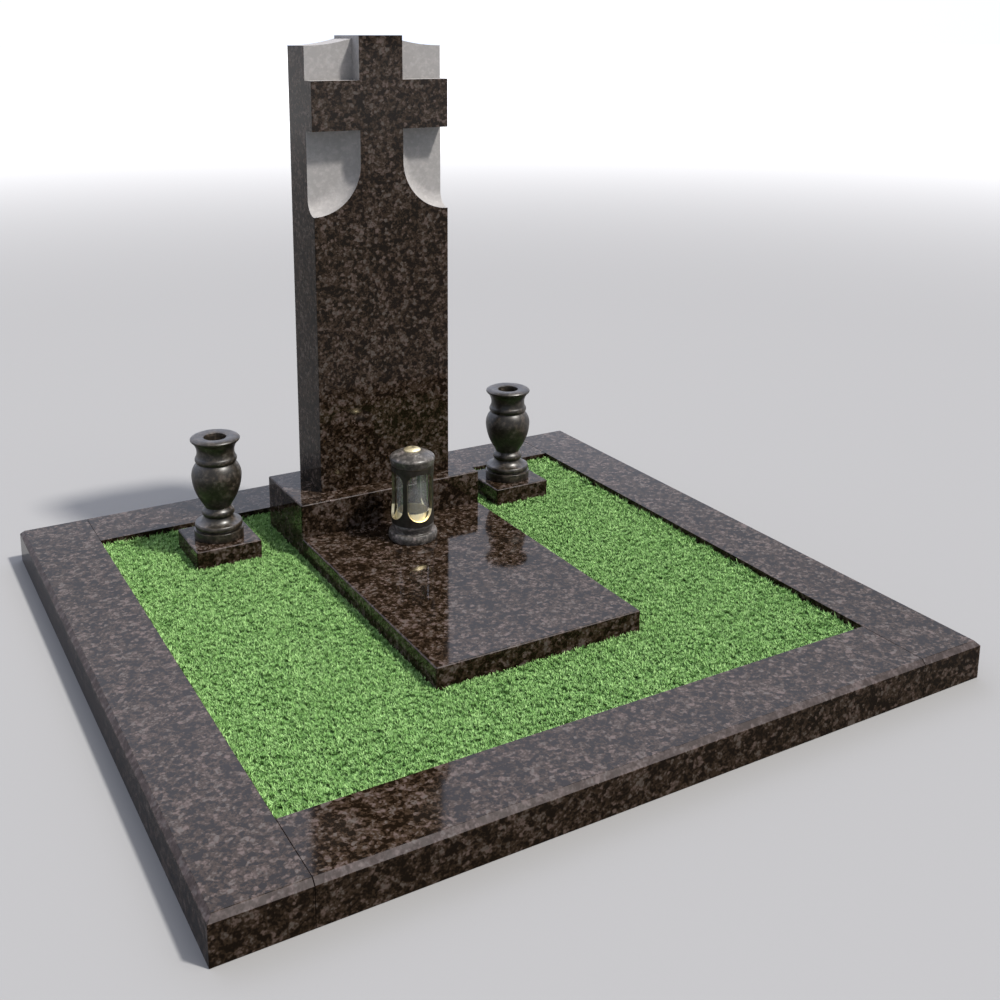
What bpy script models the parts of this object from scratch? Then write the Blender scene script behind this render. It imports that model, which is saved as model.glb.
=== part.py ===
"""Grave memorial of polished dark granite: a kerbed plot with a cross-headed stele.

Metres, +Z up. The origin is the middle of the plot at ground level, the front faces -Y and
the stele stands near the back. Everything set in the ground is cut off flat at z = 0.
"""

import math

import bmesh
import bpy
from mathutils import Matrix, Vector

# Fits between stones
REST_GAP = 0.0003
JOINT_GAP = 0.0010

# How closely two places match, and how far a straight stretch may leave its arc
TOUCH = 0.00001
ARC_SAG = 0.0004
FLAT_ANGLE = math.radians(0.2)

# Shapes of rounded edges: a quarter circle as a bulge, and a bevel's circular profile
QUARTER_BULGE = math.tan(math.pi / 8)
ROUND_PROFILE = 0.5

# Kerb round the plot
PLOT_WIDTH = 2.000
PLOT_DEPTH = 1.900
KERB_WIDTH = 0.200
KERB_HEIGHT = 0.100
KERB_CHAMFER = 0.012

# Turf bed inside the kerb; the blades of grass stand on it
BED_HEIGHT = 0.072

# Ledger slab and plinth, both laid on the bed
AXIS_X = 0.010
LEDGER_WIDTH = 0.600
LEDGER_FRONT_Y = -0.455
LEDGER_THICKNESS = 0.062
PLINTH_FRONT_Y = 0.390
PLINTH_DEPTH = 0.280
PLINTH_HEIGHT = 0.166
STONE_ARRIS = 0.003
ARRIS_ANGLE = math.radians(40.0)

# Stele with the cross head
STELE_X = 0.020
STELE_WIDTH = 0.436
STELE_THICKNESS = 0.176
STELE_SETBACK = 0.068
STELE_HEIGHT = 1.352
STELE_ARRIS = 0.002
SHAFT_WIDTH = 0.138
RECESS_DEPTH = 0.048
ARM_TOP_DROP = 0.126
ARM_HEIGHT = 0.142
SHOULDER_DROP = 0.513
HOLLOW_QUIRK = 0.001
HOLLOW_STEPS = 5
CREST_STEP = 0.009
CREST_FALL = 0.020
CUT_MARGIN = 0.030

# Vase bases, one on each side of the plinth
VASE_OFFSET_X = 0.503
VASE_Y = 0.548
VASE_BASE_SIDE = 0.196
VASE_BASE_HEIGHT = 0.060

# Turned vases: heights stack from the foot up
VASE_FOOT_RADIUS = 0.0725
VASE_FOOT_HEIGHT = 0.026
VASE_QUIRK_RADIUS = 0.0650
VASE_QUIRK_HEIGHT = 0.003
VASE_TORUS_RADIUS = 0.0670
VASE_TORUS_HEIGHT = 0.017
VASE_TORUS_BULGE = 0.40
VASE_SCOTIA_HEIGHT = 0.019
VASE_SCOTIA_BULGE = -0.30
VASE_RING_NECK_RADIUS = 0.0425
VASE_RING_HEIGHT = 0.022
VASE_RING_BULGE = 0.50
VASE_WAIST_RADIUS = 0.0385
VASE_WAIST_HEIGHT = 0.006
VASE_CUP_RADIUS = 0.0445
VASE_CUP_HEIGHT = 0.012
VASE_BELLY_RADIUS = 0.0730
VASE_BELLY_LOW_HEIGHT = 0.079
VASE_BELLY_LOW_BULGE = 0.133
VASE_BELLY_TOP_RADIUS = 0.0575
VASE_BELLY_TOP_HEIGHT = 0.0455
VASE_BELLY_TOP_BULGE = 0.22
VASE_GROOVE_HEIGHT = 0.002
VASE_BEAD_HEIGHT = 0.0185
VASE_BEAD_BULGE = 0.44
VASE_NECK_HEIGHT = 0.0475
VASE_NECK_BULGE = -0.317
VASE_LIP_UNDER_RADIUS = 0.0705
VASE_LIP_RADIUS = 0.0725
VASE_LIP_EDGE = 0.006
VASE_LIP_EDGE_BULGE = 0.20
VASE_LIP_SHOULDER_BULGE = 0.22
VASE_LIP_CROWN_RADIUS = 0.0560
VASE_LIP_CROWN_HEIGHT = 0.007
VASE_LIP_CROWN_BULGE = 0.10
VASE_BORE_RADIUS = 0.0330
VASE_BORE_DIP = 0.004
VASE_BORE_DEPTH = 0.185
VASE_STEPS = 28

# Grave lantern on the ledger: heights stack from its foot up
LANTERN_X = 0.005
LANTERN_Y = 0.250
LANTERN_TURN = math.radians(-2.0)
LANTERN_FOOT_RADIUS = 0.0690
LANTERN_FOOT_HEIGHT = 0.027
LANTERN_FOOT_BULGE = 0.28
LANTERN_SEAT_RADIUS = 0.0600
LANTERN_SEAT_BULGE = 0.30
LANTERN_SEAT_HEIGHT = 0.025
LANTERN_HOLLOW_RADIUS = 0.0570
LANTERN_HOLLOW_BULGE = -0.10
LANTERN_BODY_RADIUS = 0.0630
LANTERN_BODY_HEIGHT = 0.175
LANTERN_BODY_WALL = 0.008
LANTERN_BODY_FLOOR = 0.004
WINDOW_COUNT = 4
WINDOW_HALF_ANGLE = math.radians(39.0)
WINDOW_SILL = 0.016
WINDOW_HEIGHT = 0.145
WINDOW_FOOT_RISE = 0.044
WINDOW_HEAD_RISE = 0.028
WINDOW_STEPS = 14
COLLAR_FIT = 0.0005
COLLAR_EDGE_HEIGHT = 0.009
COLLAR_HEIGHT = 0.031
COLLAR_TOP_RADIUS = 0.0480
COLLAR_TOP_WIDTH = 0.0050
GLASS_SETBACK = 0.0010
GLASS_WALL = 0.0025
GLASS_HEIGHT = 0.132
CAP_UNDER_RADIUS = 0.0610
CAP_RADIUS = 0.0665
CAP_SIDE_HEIGHT = 0.022
CAP_SIDE_BULGE = 0.10
CAP_ROUND_HEIGHT = 0.007
CAP_ROUND_WIDTH = 0.006
CAP_ROUND_BULGE = 0.20
CAP_DOME_HEIGHT = 0.0135
CAP_DOME_BULGE = 0.12
KNOB_RADIUS = 0.0250
KNOB_EDGE = 0.003
KNOB_CROWN = 0.006
KNOB_BULGE = 0.18
TURNED_STEPS = 32
BODY_STEPS = 64

# Places that follow from the sizes above
BED_SEAT_Z = BED_HEIGHT + REST_GAP
LEDGER_TOP_Z = BED_SEAT_Z + LEDGER_THICKNESS
PLINTH_TOP_Z = BED_SEAT_Z + PLINTH_HEIGHT
STELE_BASE_Z = PLINTH_TOP_Z + REST_GAP
STELE_FRONT_Y = PLINTH_FRONT_Y + STELE_SETBACK
ARM_TOP = STELE_HEIGHT - ARM_TOP_DROP
ARM_FOOT = ARM_TOP - ARM_HEIGHT
LANTERN_BODY_Z = LANTERN_FOOT_HEIGHT + LANTERN_SEAT_HEIGHT + REST_GAP
LANTERN_INNER_RADIUS = LANTERN_BODY_RADIUS - LANTERN_BODY_WALL
COLLAR_Z = LANTERN_BODY_Z + LANTERN_BODY_FLOOR + REST_GAP
CAP_Z = LANTERN_BODY_Z + LANTERN_BODY_HEIGHT + REST_GAP
CAP_SHOULDER_Z = CAP_SIDE_HEIGHT + CAP_ROUND_HEIGHT
CAP_CROWN_Z = CAP_SHOULDER_Z + CAP_DOME_HEIGHT


def clear_objects():
    """Remove whatever the opened file holds."""
    for item in list(bpy.data.objects):
        bpy.data.objects.remove(item, do_unlink=True)


def new_collection(name):
    """Return a new collection linked to the scene."""
    collection = bpy.data.collections.new(name)
    bpy.context.scene.collection.children.link(collection)
    return collection


def surface(name, color, roughness, metallic=0.0, alpha=1.0):
    """Return a plain Principled material."""
    material = bpy.data.materials.new(name)
    material.use_nodes = True
    shader = material.node_tree.nodes["Principled BSDF"]
    shader.inputs["Base Color"].default_value = (*color, 1.0)
    shader.inputs["Roughness"].default_value = roughness
    shader.inputs["Metallic"].default_value = metallic
    shader.inputs["Alpha"].default_value = alpha
    material.diffuse_color = (*color, alpha)
    return material


def dark_granite():
    """Return polished brown-black granite."""
    return surface("dark granite", color=(0.035, 0.030, 0.028), roughness=0.20)


def green_turf():
    """Return short green turf."""
    return surface("turf", color=(0.12, 0.30, 0.07), roughness=0.85)


def black_bronze():
    """Return the near-black bronze of the lantern's body."""
    return surface("black bronze", color=(0.015, 0.014, 0.012), roughness=0.35, metallic=0.8)


def bright_brass():
    """Return the polished brass of the lantern's fittings."""
    return surface("brass", color=(0.80, 0.60, 0.25), roughness=0.25, metallic=1.0)


def clear_glass():
    """Return see-through glass."""
    return surface("clear glass", color=(0.90, 0.93, 0.93), roughness=0.05, alpha=0.3)


def add_object(name, mesh, collection, location=(0.0, 0.0, 0.0), material=None, parent=None):
    """Wrap a mesh in a placed object of the given collection."""
    item = bpy.data.objects.new(name, mesh)
    collection.objects.link(item)
    item.location = location
    item.parent = parent
    if material is not None:
        mesh.materials.append(material)
    return item


def add_anchor(name, collection, location, turn=0.0):
    """Add an empty that carries the pieces of one assembly."""
    anchor = bpy.data.objects.new(name, None)
    collection.objects.link(anchor)
    anchor.location = location
    anchor.rotation_euler = (0.0, 0.0, turn)
    return anchor


def mark_cutter(item):
    """Show a cutter as wire and keep it out of renders."""
    item.hide_render = True
    item.display_type = "WIRE"
    return item


def block_mesh(name, size):
    """Return a box mesh whose base is centred on its origin."""
    shape = bmesh.new()
    bmesh.ops.create_cube(shape, size=1.0)
    bmesh.ops.scale(shape, vec=Vector(size), verts=shape.verts)
    bmesh.ops.translate(shape, vec=(0.0, 0.0, size[2] / 2), verts=shape.verts)
    mesh = bpy.data.meshes.new(name)
    shape.to_mesh(mesh)
    shape.free()
    return mesh


def add_arris(item, width):
    """Break the sharp edges of a stone."""
    bevel = item.modifiers.new("arris", "BEVEL")
    bevel.width = width
    bevel.segments = 1
    bevel.limit_method = "ANGLE"
    bevel.angle_limit = ARRIS_ANGLE


def cut(item, cutter):
    """Cut one solid out of another."""
    boolean = item.modifiers.new(cutter.name, "BOOLEAN")
    boolean.operation = "DIFFERENCE"
    boolean.solver = "EXACT"
    boolean.object = cutter


def arc(start, end, bulge):
    """Return the points after start on a circular arc to end, or the end of a straight.

    The bulge is the arc's height over its chord as a share of half the chord. It is
    positive where the arc bows to the left of the way from start to end, which is
    outward on a profile that runs down, and negative for a hollow.
    """
    first, last = Vector(start), Vector(end)
    if bulge == 0.0:
        return [tuple(last)]
    chord = last - first
    height = abs(bulge) * chord.length / 2
    steps = math.ceil(math.sqrt(height / ARC_SAG))
    half_turn = 2.0 * math.atan(bulge)
    radius = chord.length / 2 / math.sin(half_turn)
    left = Vector((-chord.y, chord.x)).normalized()
    centre = (first + last) / 2 - left * radius * math.cos(half_turn)
    spoke = first - centre
    points = []
    for i in range(1, steps + 1):
        turned = Matrix.Rotation(-2.0 * half_turn * i / steps, 2) @ spoke
        points.append(tuple(centre + turned))
    return points


def trace(profile, runs):
    """Extend a profile by runs, each an end point and the bulge of the way to it."""
    for end, bulge in runs:
        profile = profile + arc(profile[-1], end, bulge)
    return profile


def turned_mesh(name, profile, closed):
    """Return a profile in the XZ plane as a mesh of edges."""
    mesh = bpy.data.meshes.new(name)
    points = [(radius, 0.0, height) for radius, height in profile]
    edges = [(i, i + 1) for i in range(len(points) - 1)]
    if closed:
        edges.append((len(points) - 1, 0))
    mesh.from_pydata(points, edges, [])
    return mesh


def add_turned(name, profile, parts, anchor, height, material, closed=False, steps=TURNED_STEPS):
    """Add a turned piece: a profile that runs down its outer side, spun round Z."""
    mesh = turned_mesh(name, profile, closed)
    item = add_object(name, mesh, parts, (0.0, 0.0, height), material, anchor)
    screw = item.modifiers.new("turn", "SCREW")
    screw.axis = "Z"
    screw.angle = math.tau
    screw.steps = steps
    screw.render_steps = steps
    screw.use_merge_vertices = True
    screw.merge_threshold = TOUCH
    screw.use_smooth_shade = True
    return item


def outline_mesh(name, points, thickness):
    """Return a flat outline in x and z as a plate centred on its plane."""
    curve = bpy.data.curves.new(name, "CURVE")
    curve.dimensions = "2D"
    curve.fill_mode = "BOTH"
    curve.extrude = thickness / 2
    spline = curve.splines.new("POLY")
    spline.points.add(len(points) - 1)
    for slot, (across, height) in zip(spline.points, points):
        slot.co = (across, height, 0.0, 1.0)
    spline.use_cyclic_u = True
    holder = bpy.data.objects.new(name, curve)
    bpy.context.scene.collection.objects.link(holder)
    graph = bpy.context.evaluated_depsgraph_get()
    mesh = bpy.data.meshes.new_from_object(holder.evaluated_get(graph))
    bpy.data.objects.remove(holder, do_unlink=True)
    bpy.data.curves.remove(curve)
    shape = bmesh.new()
    shape.from_mesh(mesh)
    bmesh.ops.remove_doubles(shape, verts=shape.verts, dist=TOUCH)
    bmesh.ops.rotate(shape, verts=shape.verts, matrix=Matrix.Rotation(math.pi / 2, 3, "X"))
    bmesh.ops.dissolve_limit(
        shape, angle_limit=FLAT_ANGLE, verts=shape.verts, edges=shape.edges
    )
    bmesh.ops.recalc_face_normals(shape, faces=shape.faces)
    shape.to_mesh(mesh)
    shape.free()
    mesh.name = name
    return mesh


def hollow_back_edges(mesh, back_y, top_z, side_x, radius):
    """Round the back edges of a cutter, other than those along its top and outer side.

    The rounded cutter leaves a hollow that leads from the sunk field up to the face.
    """
    shape = bmesh.new()
    shape.from_mesh(mesh)

    def rounded(edge):
        ends = [vert.co for vert in edge.verts]
        behind = all(abs(end.y - back_y) < TOUCH for end in ends)
        on_top = all(abs(end.z - top_z) < TOUCH for end in ends)
        on_side = all(abs(end.x - side_x) < TOUCH for end in ends)
        return behind and not on_top and not on_side

    edges = [edge for edge in shape.edges if rounded(edge)]
    bmesh.ops.bevel(
        shape, geom=edges, offset=radius, offset_type="OFFSET", segments=HOLLOW_STEPS,
        profile=ROUND_PROFILE, affect="EDGES", clamp_overlap=False,
    )
    shape.to_mesh(mesh)
    shape.free()


def mirror_cutter(item):
    """Repeat a cutter on the other side of its own plane x = 0."""
    mirror = item.modifiers.new("mirror", "MIRROR")
    mirror.use_axis = (True, False, False)
    mirror.merge_threshold = TOUCH


def chamfer_top(mesh, sides, width):
    """Chamfer the top edges of a block on the sides that face the given directions."""
    shape = bmesh.new()
    shape.from_mesh(mesh)
    top = max(vert.co.z for vert in shape.verts)

    def chosen(edge):
        middle = (edge.verts[0].co + edge.verts[1].co) / 2
        facing = middle.xy.normalized()
        return middle.z > top - TOUCH and any((facing - side).length < TOUCH for side in sides)

    edges = [edge for edge in shape.edges if chosen(edge)]
    bmesh.ops.bevel(
        shape, geom=edges, offset=width, offset_type="OFFSET", segments=1,
        profile=ROUND_PROFILE, affect="EDGES",
    )
    shape.to_mesh(mesh)
    shape.free()


def build_kerb(parts, granite):
    """Add four kerb stones: the side ones run the full depth, the others fit between."""
    side_x = (PLOT_WIDTH - KERB_WIDTH) / 2
    for name, sign in (("kerb_left", -1.0), ("kerb_right", 1.0)):
        mesh = block_mesh(name, (KERB_WIDTH, PLOT_DEPTH, KERB_HEIGHT))
        sides = [Vector((sign, 0.0)), Vector((0.0, -1.0)), Vector((0.0, 1.0))]
        chamfer_top(mesh, sides, KERB_CHAMFER)
        add_object(name, mesh, parts, (sign * side_x, 0.0, 0.0), granite)
    end_y = (PLOT_DEPTH - KERB_WIDTH) / 2
    length = PLOT_WIDTH - 2 * (KERB_WIDTH + JOINT_GAP)
    for name, sign in (("kerb_front", -1.0), ("kerb_back", 1.0)):
        mesh = block_mesh(name, (length, KERB_WIDTH, KERB_HEIGHT))
        chamfer_top(mesh, [Vector((0.0, sign))], KERB_CHAMFER)
        add_object(name, mesh, parts, (0.0, sign * end_y, 0.0), granite)


def build_bed(parts, turf):
    """Add the turf bed that fills the kerb."""
    width = PLOT_WIDTH - 2 * (KERB_WIDTH + REST_GAP)
    depth = PLOT_DEPTH - 2 * (KERB_WIDTH + REST_GAP)
    add_object("turf_bed", block_mesh("turf_bed", (width, depth, BED_HEIGHT)), parts, material=turf)


def build_ledger(parts, granite):
    """Add the ledger slab, laid on the bed up to the plinth's face."""
    depth = PLINTH_FRONT_Y - REST_GAP - LEDGER_FRONT_Y
    mesh = block_mesh("ledger", (LEDGER_WIDTH, depth, LEDGER_THICKNESS))
    place = (AXIS_X, LEDGER_FRONT_Y + depth / 2, BED_SEAT_Z)
    add_arris(add_object("ledger", mesh, parts, place, granite), STONE_ARRIS)


def build_plinth(parts, granite):
    """Add the plinth that carries the stele; it is as wide as the ledger."""
    mesh = block_mesh("plinth", (LEDGER_WIDTH, PLINTH_DEPTH, PLINTH_HEIGHT))
    place = (AXIS_X, PLINTH_FRONT_Y + PLINTH_DEPTH / 2, BED_SEAT_Z)
    add_arris(add_object("plinth", mesh, parts, place, granite), STONE_ARRIS)


def lower_field_outline():
    """Return the outline of the field beside the shaft, below the right arm.

    It runs down the shaft, round a quarter circle and out past the side of the stone.
    """
    half, shaft = STELE_WIDTH / 2, SHAFT_WIDTH / 2
    low = STELE_HEIGHT - SHOULDER_DROP
    spring = (shaft, low + half - shaft)
    points = trace(
        [(half + CUT_MARGIN, ARM_FOOT), (shaft, ARM_FOOT), spring],
        [((half, low), -QUARTER_BULGE)],
    )
    return points + [(half + CUT_MARGIN, low)]


def upper_field_outline():
    """Return the outline of the square field above the right arm."""
    shaft, side = SHAFT_WIDTH / 2, STELE_WIDTH / 2 + CUT_MARGIN
    high = STELE_HEIGHT + CUT_MARGIN
    return [(shaft, ARM_TOP), (side, ARM_TOP), (side, high), (shaft, high)]


def crest_outline():
    """Return the outline cut off the right shoulder: a step and a hollow fall."""
    shaft, half = SHAFT_WIDTH / 2, STELE_WIDTH / 2
    start = (shaft, STELE_HEIGHT - CREST_STEP)
    end = (half, start[1] - CREST_FALL)
    flat_end = math.atan2(CREST_FALL, half - shaft)
    high = STELE_HEIGHT + CUT_MARGIN
    points = trace([(shaft, high), start], [(end, -math.tan(flat_end / 2))])
    return points + [(half + CUT_MARGIN, end[1]), (half + CUT_MARGIN, high)]


def build_stele(parts, cutters, granite):
    """Add the stele: a Latin cross stands proud of four sunk fields."""
    mesh = block_mesh("stele", (STELE_WIDTH, STELE_THICKNESS, STELE_HEIGHT))
    place = Vector((STELE_X, STELE_FRONT_Y + STELE_THICKNESS / 2, STELE_BASE_Z))
    stele = add_object("stele", mesh, parts, place, granite)
    add_arris(stele, STELE_ARRIS)

    thickness = RECESS_DEPTH + CUT_MARGIN
    field_place = (STELE_X, STELE_FRONT_Y + RECESS_DEPTH - thickness / 2, STELE_BASE_Z)
    side = STELE_WIDTH / 2 + CUT_MARGIN
    lower = outline_mesh("lower_field", lower_field_outline(), thickness)
    hollow_back_edges(lower, thickness / 2, ARM_FOOT, side, RECESS_DEPTH - HOLLOW_QUIRK)
    upper = outline_mesh("upper_field", upper_field_outline(), thickness)
    crest = outline_mesh("crest_fall", crest_outline(), STELE_THICKNESS + 2 * CUT_MARGIN)
    for cut_mesh, cut_place in ((lower, field_place), (upper, field_place), (crest, place)):
        cutter = mark_cutter(add_object(cut_mesh.name, cut_mesh, cutters, cut_place))
        mirror_cutter(cutter)
        cut(stele, cutter)


def vase_levels():
    """Return the heights of the vase's mouldings, summed from the foot up."""
    rises = (
        ("foot", VASE_FOOT_HEIGHT),
        ("quirk", VASE_QUIRK_HEIGHT),
        ("torus", VASE_TORUS_HEIGHT),
        ("scotia", VASE_SCOTIA_HEIGHT),
        ("ring", VASE_RING_HEIGHT),
        ("waist", VASE_WAIST_HEIGHT),
        ("cup", VASE_CUP_HEIGHT),
        ("belly", VASE_BELLY_LOW_HEIGHT),
        ("shoulder", VASE_BELLY_TOP_HEIGHT),
        ("groove", VASE_GROOVE_HEIGHT),
        ("bead", VASE_BEAD_HEIGHT),
        ("neck", VASE_NECK_HEIGHT),
        ("edge", VASE_LIP_EDGE),
        ("crown", VASE_LIP_CROWN_HEIGHT),
    )
    levels, height = {}, 0.0
    for name, rise in rises:
        height += rise
        levels[name] = height
    return levels


def vase_profile():
    """Return the profile of a vase, from the bore over the lip down to the foot."""
    at = vase_levels()
    mouth = at["crown"] - VASE_BORE_DIP
    floor = at["crown"] - VASE_BORE_DEPTH
    runs = (
        ((VASE_LIP_CROWN_RADIUS, at["crown"]), VASE_LIP_CROWN_BULGE),
        ((VASE_LIP_RADIUS, at["edge"]), VASE_LIP_SHOULDER_BULGE),
        ((VASE_LIP_UNDER_RADIUS, at["neck"]), VASE_LIP_EDGE_BULGE),
        ((VASE_BELLY_TOP_RADIUS, at["bead"]), VASE_NECK_BULGE),
        ((VASE_BELLY_TOP_RADIUS, at["groove"]), VASE_BEAD_BULGE),
        ((VASE_BELLY_TOP_RADIUS, at["shoulder"]), 0.0),
        ((VASE_BELLY_RADIUS, at["belly"]), VASE_BELLY_TOP_BULGE),
        ((VASE_CUP_RADIUS, at["cup"]), VASE_BELLY_LOW_BULGE),
        ((VASE_WAIST_RADIUS, at["waist"]), 0.0),
        ((VASE_RING_NECK_RADIUS, at["ring"]), 0.0),
        ((VASE_RING_NECK_RADIUS, at["scotia"]), VASE_RING_BULGE),
        ((VASE_TORUS_RADIUS, at["torus"]), VASE_SCOTIA_BULGE),
        ((VASE_TORUS_RADIUS, at["quirk"]), VASE_TORUS_BULGE),
        ((VASE_QUIRK_RADIUS, at["quirk"]), 0.0),
        ((VASE_QUIRK_RADIUS, at["foot"]), 0.0),
        ((VASE_FOOT_RADIUS, at["foot"]), 0.0),
        ((VASE_FOOT_RADIUS, 0.0), 0.0),
        ((0.0, 0.0), 0.0),
    )
    return trace([(0.0, floor), (VASE_BORE_RADIUS, floor), (VASE_BORE_RADIUS, mouth)], runs)


def build_vases(parts, granite):
    """Add a square base and a bored vase on each side of the plinth."""
    base_size = (VASE_BASE_SIDE, VASE_BASE_SIDE, VASE_BASE_HEIGHT)
    seat = VASE_BASE_HEIGHT + REST_GAP
    for side, sign in (("left", -1.0), ("right", 1.0)):
        spot = (AXIS_X + sign * VASE_OFFSET_X, VASE_Y, BED_SEAT_Z)
        anchor = add_anchor(f"vase_spot_{side}", parts, spot)
        name = f"vase_base_{side}"
        base = add_object(name, block_mesh(name, base_size), parts, material=granite, parent=anchor)
        add_arris(base, STONE_ARRIS)
        profile = vase_profile()
        add_turned(f"vase_{side}", profile, parts, anchor, seat, granite, steps=VASE_STEPS)


def add_lantern_base(parts, anchor, granite):
    """Add the lantern's granite base: a rounded foot and a waisted seat."""
    seat_z = LANTERN_FOOT_HEIGHT + LANTERN_SEAT_HEIGHT
    runs = (
        ((LANTERN_SEAT_RADIUS, seat_z - LANTERN_SEAT_HEIGHT / 2), LANTERN_SEAT_BULGE),
        ((LANTERN_HOLLOW_RADIUS, LANTERN_FOOT_HEIGHT), LANTERN_HOLLOW_BULGE),
        ((LANTERN_FOOT_RADIUS, LANTERN_FOOT_HEIGHT), 0.0),
        ((LANTERN_FOOT_RADIUS, 0.0), LANTERN_FOOT_BULGE),
        ((0.0, 0.0), 0.0),
    )
    profile = trace([(0.0, seat_z), (LANTERN_SEAT_RADIUS, seat_z)], runs)
    add_turned("lantern_base", profile, parts, anchor, 0.0, granite)


def window_outline():
    """Return a lantern window's outline: upright sides, a round foot and a flat head."""
    half = LANTERN_BODY_RADIUS * math.tan(WINDOW_HALF_ANGLE)
    foot = (-1.0, WINDOW_SILL + WINDOW_FOOT_RISE, WINDOW_FOOT_RISE)
    head = (1.0, WINDOW_SILL + WINDOW_HEIGHT - WINDOW_HEAD_RISE, WINDOW_HEAD_RISE)
    points = []
    for sign, level, rise in (foot, head):
        for i in range(WINDOW_STEPS + 1):
            turn = math.pi * i / WINDOW_STEPS
            across = sign * half * math.cos(turn)
            points.append((across, level + sign * rise * math.sin(turn)))
    return points


def window_cutter_mesh():
    """Return a cutter for one window, narrowing towards the lantern's axis."""
    mesh = outline_mesh("lantern_window", window_outline(), LANTERN_BODY_RADIUS)
    for vert in mesh.vertices:
        vert.co.y -= LANTERN_BODY_RADIUS
        vert.co.x *= -vert.co.y / LANTERN_BODY_RADIUS
    return mesh


def add_lantern_body(parts, cutters, anchor, bronze):
    """Add the lantern's open tube and cut its windows."""
    profile = [
        (0.0, LANTERN_BODY_FLOOR),
        (LANTERN_INNER_RADIUS, LANTERN_BODY_FLOOR),
        (LANTERN_INNER_RADIUS, LANTERN_BODY_HEIGHT),
        (LANTERN_BODY_RADIUS, LANTERN_BODY_HEIGHT),
        (LANTERN_BODY_RADIUS, 0.0),
        (0.0, 0.0),
    ]
    body = add_turned(
        "lantern_body", profile, parts, anchor, LANTERN_BODY_Z, bronze, steps=BODY_STEPS
    )
    mesh = window_cutter_mesh()
    place = (0.0, 0.0, LANTERN_BODY_Z)
    for i in range(WINDOW_COUNT):
        window = add_object(f"lantern_window_{i}", mesh, cutters, place, parent=anchor)
        window.rotation_euler = (0.0, 0.0, math.tau * i / WINDOW_COUNT)
        cut(body, mark_cutter(window))


def add_lantern_collar(parts, anchor, brass):
    """Add the sloped collar that carries the glass."""
    outer = LANTERN_INNER_RADIUS - COLLAR_FIT
    bore = COLLAR_TOP_RADIUS - COLLAR_TOP_WIDTH
    profile = [
        (bore, 0.0),
        (bore, COLLAR_HEIGHT),
        (COLLAR_TOP_RADIUS, COLLAR_HEIGHT),
        (outer, COLLAR_EDGE_HEIGHT),
        (outer, 0.0),
    ]
    add_turned("lantern_collar", profile, parts, anchor, COLLAR_Z, brass, closed=True)


def add_lantern_glass(parts, anchor, glass):
    """Add the glass tube that stands on the collar."""
    outer = COLLAR_TOP_RADIUS - GLASS_SETBACK
    bore = outer - GLASS_WALL
    profile = [(bore, 0.0), (bore, GLASS_HEIGHT), (outer, GLASS_HEIGHT), (outer, 0.0)]
    height = COLLAR_Z + COLLAR_HEIGHT + REST_GAP
    add_turned("lantern_glass", profile, parts, anchor, height, glass, closed=True)


def add_lantern_cap(parts, anchor, granite):
    """Add the domed granite cap that lies on the body."""
    runs = (
        ((CAP_RADIUS - CAP_ROUND_WIDTH, CAP_SHOULDER_Z), CAP_DOME_BULGE),
        ((CAP_RADIUS, CAP_SIDE_HEIGHT), CAP_ROUND_BULGE),
        ((CAP_UNDER_RADIUS, 0.0), CAP_SIDE_BULGE),
        ((0.0, 0.0), 0.0),
    )
    profile = trace([(0.0, CAP_CROWN_Z), (KNOB_RADIUS, CAP_CROWN_Z)], runs)
    add_turned("lantern_cap", profile, parts, anchor, CAP_Z, granite)


def add_lantern_knob(parts, anchor, brass):
    """Add the low brass knob on the cap."""
    runs = (
        ((KNOB_RADIUS, KNOB_EDGE), KNOB_BULGE),
        ((KNOB_RADIUS, 0.0), 0.0),
        ((0.0, 0.0), 0.0),
    )
    profile = trace([(0.0, KNOB_EDGE + KNOB_CROWN)], runs)
    add_turned("lantern_knob", profile, parts, anchor, CAP_Z + CAP_CROWN_Z + REST_GAP, brass)


def build_lantern(parts, cutters, granite, brass):
    """Add the lantern from its base up to the knob."""
    spot = (LANTERN_X, LANTERN_Y, LEDGER_TOP_Z + REST_GAP)
    anchor = add_anchor("lantern_spot", parts, spot, LANTERN_TURN)
    add_lantern_base(parts, anchor, granite)
    add_lantern_body(parts, cutters, anchor, black_bronze())
    add_lantern_collar(parts, anchor, brass)
    add_lantern_glass(parts, anchor, clear_glass())
    add_lantern_cap(parts, anchor, granite)
    add_lantern_knob(parts, anchor, brass)


def main():
    """Build the memorial from the ground up."""
    clear_objects()
    parts = new_collection("grave_memorial")
    cutters = new_collection("cutters")
    granite = dark_granite()
    build_kerb(parts, granite)
    build_bed(parts, green_turf())
    build_ledger(parts, granite)
    build_plinth(parts, granite)
    build_stele(parts, cutters, granite)
    build_vases(parts, granite)
    build_lantern(parts, cutters, granite, bright_brass())


main()
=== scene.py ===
"""Dressed scene of a granite grave memorial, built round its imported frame.

Metres, +Z up, the front faces -Y. Fine stones, turned vases, the lantern and the lawn are
made here and stand exactly where the frame's nodes are.
"""

import logging
import math
from collections.abc import Callable
from dataclasses import dataclass, replace
from enum import Enum

import bmesh
import bpy
from bmesh.types import BMEdge, BMesh, BMVert
from bpy.types import ID, Material, Mesh, NodeSocket, NodeTree, Object
from mathutils import Euler, Matrix, Vector


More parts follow.
